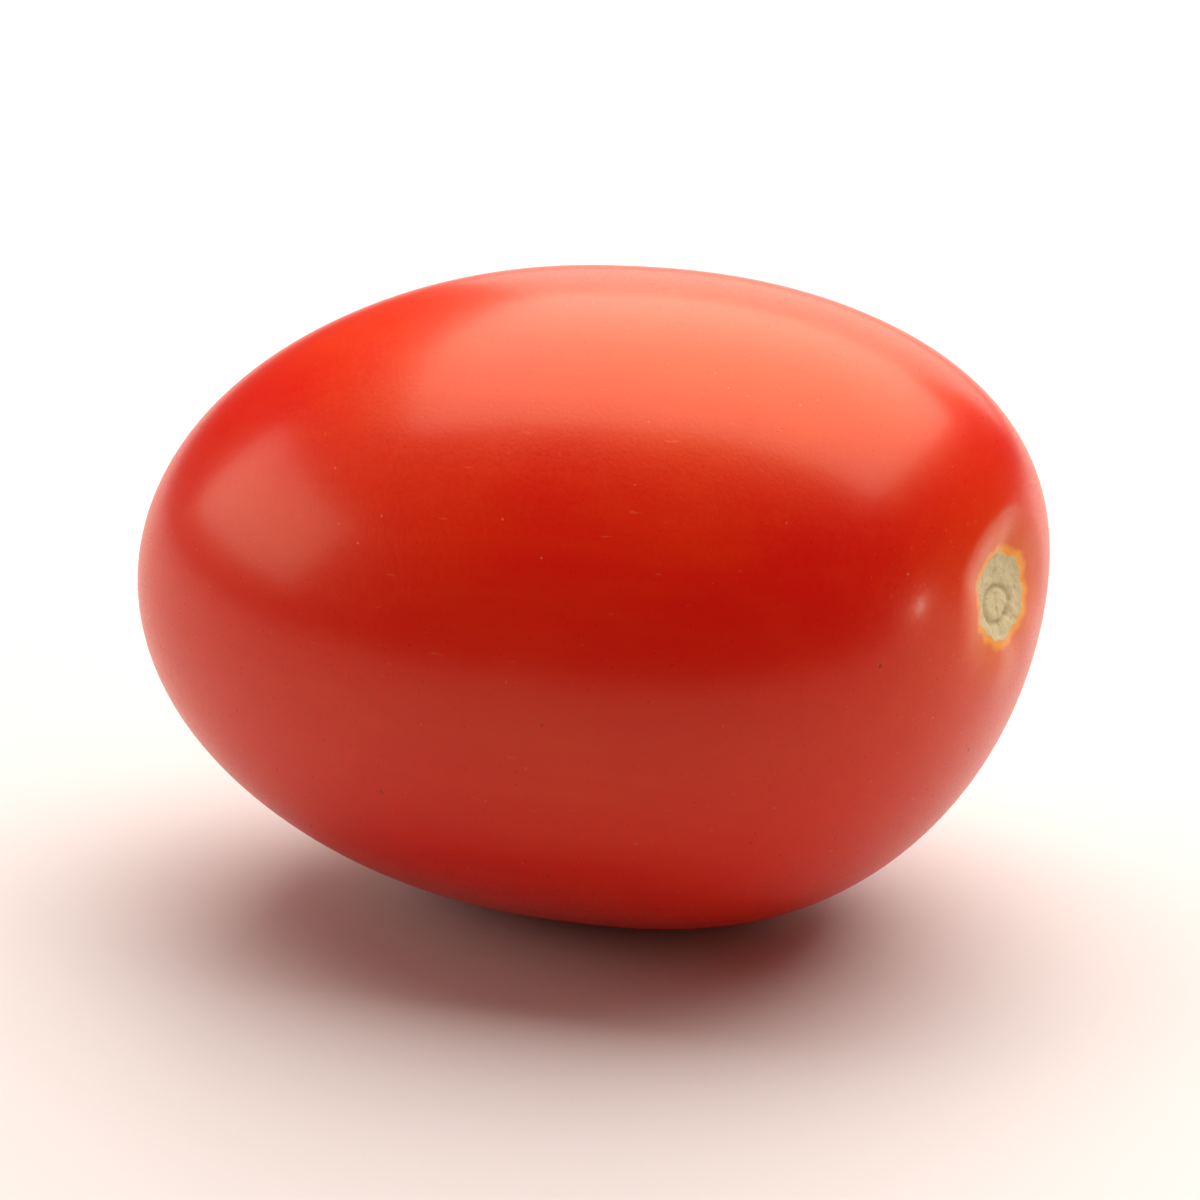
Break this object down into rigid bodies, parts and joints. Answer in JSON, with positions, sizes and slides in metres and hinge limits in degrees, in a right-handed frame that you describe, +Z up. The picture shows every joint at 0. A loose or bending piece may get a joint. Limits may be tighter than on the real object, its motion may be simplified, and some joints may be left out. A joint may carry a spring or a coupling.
{
  "type": "tomato",
  "caption": "Ripe plum tomato lying on its side, with a corky stem scar in a shallow dimple and a small blossom point; loose produce to set on a table, board or shelf.",
  "frame": {"origin": "on the surface the fruit rests on, under the middle of its bounding box", "axes": "+Z up, +X along the fruit towards its stem end, +Y across it"},
  "size_m": [0.0708, 0.0502, 0.0497],
  "materials": {
    "skin": "smooth waxy skin, satin to glossy, deep red, with a dull sage-cream corky stem scar inside a thin orange rim"
  },
  "bodies": {
    "root": {"tomato": "skin"}
  },
  "joints": []
}
